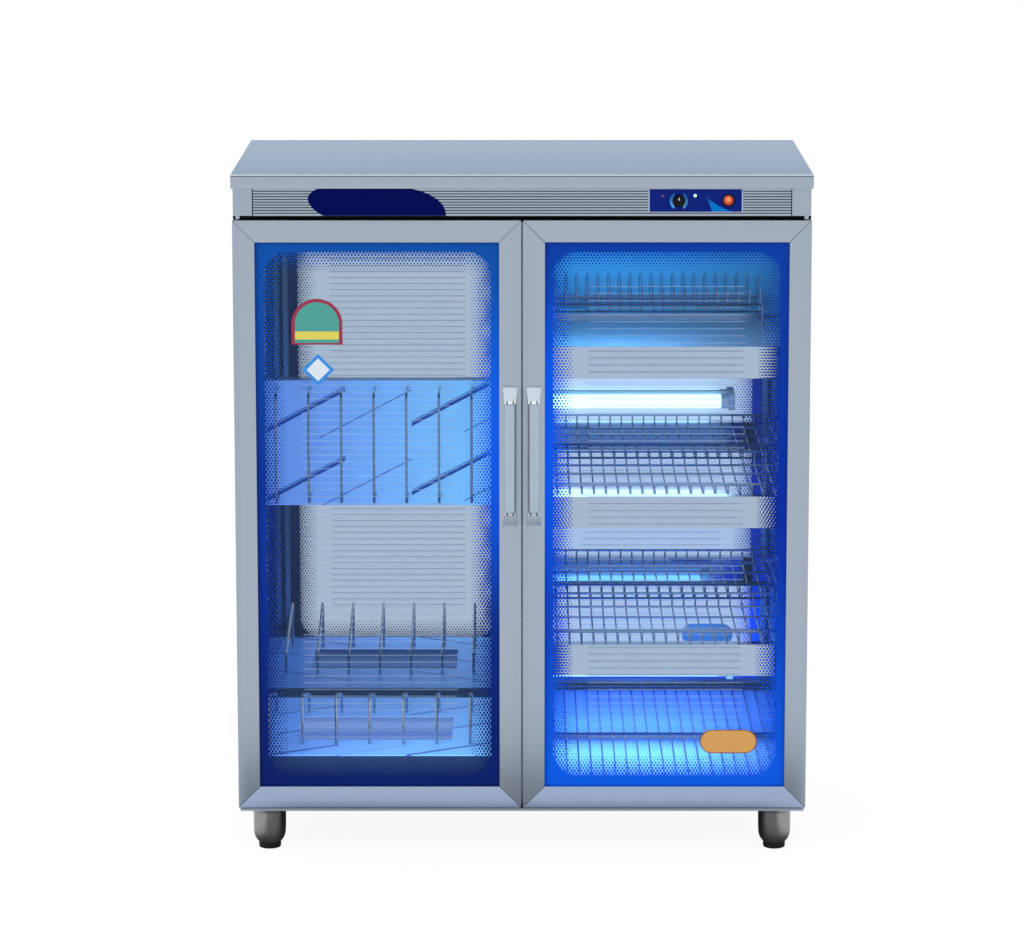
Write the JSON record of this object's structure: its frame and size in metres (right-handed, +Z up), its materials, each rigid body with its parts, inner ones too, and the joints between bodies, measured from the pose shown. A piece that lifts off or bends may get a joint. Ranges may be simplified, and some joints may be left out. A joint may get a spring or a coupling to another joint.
{
  "type": "uv knife sterilizer",
  "caption": "Free-standing ultraviolet sterilising cabinet with two glass doors, knife and board racks on one side and cup baskets on the other.",
  "frame": {"origin": "on the floor under the middle of the whole object, handles to cable gland", "axes": "+Z up, the doors face -Y, +X to the right of someone facing the doors"},
  "size_m": [1, 0.5898, 1.205],
  "materials": {
    "steel": "brushed stainless steel sheet",
    "mirror": "polished stainless steel sheet",
    "film": "polished sheet under a blue protective film",
    "wire": "bright chromed wire",
    "chrome": "bright chrome",
    "grip": "pale gloss plastic",
    "glass": "tempered glass with a blue printed border",
    "gasket": "soft magnetic gasket",
    "plate": "blue gloss control plate",
    "black": "black gloss plastic",
    "red": "lit red lens",
    "green": "clear indicator lenses",
    "lamp": "glowing germicidal tube",
    "white": "white powder coat",
    "leg": "satin stainless steel",
    "rubber": "black rubber"
  },
  "bodies": {
    "cabinet": {"worktop": "steel", "side_panel_right": "steel", "side_panel_left": "steel", "back_panel": "steel", "base_pan": "steel", "front_frame": "steel", "control_fascia": "steel", "control_plate": "plate", "timer_unit": "white", "switch_housing": "black", "indicator_board": "green", "left_liner": "mirror", "right_liner": "mirror", "upper_shelf": "mirror", "lamp_shield_upper": "mirror", "lamp_shield_lower": "mirror", "knife_plate": "film", "knife_rack": "wire", "uv_lamp_right_upper": "lamp", "uv_lamp_right_lower": "lamp", "uv_lamp_left": "lamp", "lamp_fixture_right_upper": "white", "lamp_fixture_right_lower": "white", "lamp_fixture_left": "white", "cord_gland": "black", "leg_front_left": "leg", "leg_rear_left": "leg", "leg_front_right": "leg", "leg_rear_right": "leg"},
    "left_door": {"left_door_hinge_stile": "steel", "left_door_latch_stile": "steel", "left_door_top_rail": "steel", "left_door_bottom_rail": "steel", "left_door_glass": "glass", "left_door_gasket": "gasket", "left_door_handle_bracket": "chrome", "left_door_handle_grip": "grip"},
    "right_door": {"right_door_hinge_stile": "steel", "right_door_latch_stile": "steel", "right_door_top_rail": "steel", "right_door_bottom_rail": "steel", "right_door_glass": "glass", "right_door_gasket": "gasket", "right_door_handle_bracket": "chrome", "right_door_handle_grip": "grip"},
    "timer_knob": {"timer_knob": "black"},
    "rocker_button": {"rocker_button": "red"},
    "wire_basket_upper": {"wire_basket_fence_upper": "wire", "wire_basket_mat_upper": "wire"},
    "wire_basket_lower": {"wire_basket_fence_lower": "wire", "wire_basket_mat_lower": "wire"},
    "floor_rack": {"floor_rack": "wire"},
    "cup_rack": {"cup_rack": "wire", "cup_prongs": "wire"},
    "board_tray": {"board_tray": "film", "board_rack": "wire"},
    "foot_front_left": {"foot_front_left": "rubber"},
    "foot_front_right": {"foot_front_right": "rubber"},
    "foot_rear_left": {"foot_rear_left": "rubber"},
    "foot_rear_right": {"foot_rear_right": "rubber"}
  },
  "joints": [
    {"name": "left_door_hinge", "type": "hinge", "parent": "cabinet", "child": "left_door", "pos_m": [-0.49, -0.2506, 0.606], "axis": [0, 0, -1], "range_deg": [0, 110]},
    {"name": "right_door_hinge", "type": "hinge", "parent": "cabinet", "child": "right_door", "pos_m": [0.49, -0.2506, 0.606], "axis": [0, 0, 1], "range_deg": [0, 110]},
    {"name": "timer_knob_turn", "type": "hinge", "parent": "cabinet", "child": "timer_knob", "pos_m": [0.269, -0.2609, 1.1595], "axis": [0, 1, 0], "range_deg": [0, 300]},
    {"name": "rocker_press", "type": "hinge", "parent": "cabinet", "child": "rocker_button", "pos_m": [0.354, -0.2608, 1.1605], "axis": [1, 0, 0], "range_deg": [0, 14]},
    {"name": "upper_basket_lift", "type": "slide", "parent": "cabinet", "child": "wire_basket_upper", "axis": [0, 0, 1], "range_m": [0, 0.06]},
    {"name": "lower_basket_lift", "type": "slide", "parent": "cabinet", "child": "wire_basket_lower", "axis": [0, 0, 1], "range_m": [0, 0.06]},
    {"name": "floor_rack_lift", "type": "slide", "parent": "cabinet", "child": "floor_rack", "axis": [0, 0, 1], "range_m": [0, 0.06]},
    {"name": "cup_rack_lift", "type": "slide", "parent": "cabinet", "child": "cup_rack", "axis": [0, 0, 1], "range_m": [0, 0.06]},
    {"name": "board_tray_lift", "type": "slide", "parent": "cabinet", "child": "board_tray", "axis": [0, 0, 1], "range_m": [0, 0.05]},
    {"name": "foot_front_left_screw", "type": "slide", "parent": "cabinet", "child": "foot_front_left", "axis": [0, 0, -1], "range_m": [0, 0.02]},
    {"name": "foot_front_right_screw", "type": "slide", "parent": "cabinet", "child": "foot_front_right", "axis": [0, 0, -1], "range_m": [0, 0.02]},
    {"name": "foot_rear_left_screw", "type": "slide", "parent": "cabinet", "child": "foot_rear_left", "axis": [0, 0, -1], "range_m": [0, 0.02]},
    {"name": "foot_rear_right_screw", "type": "slide", "parent": "cabinet", "child": "foot_rear_right", "axis": [0, 0, -1], "range_m": [0, 0.02]}
  ]
}
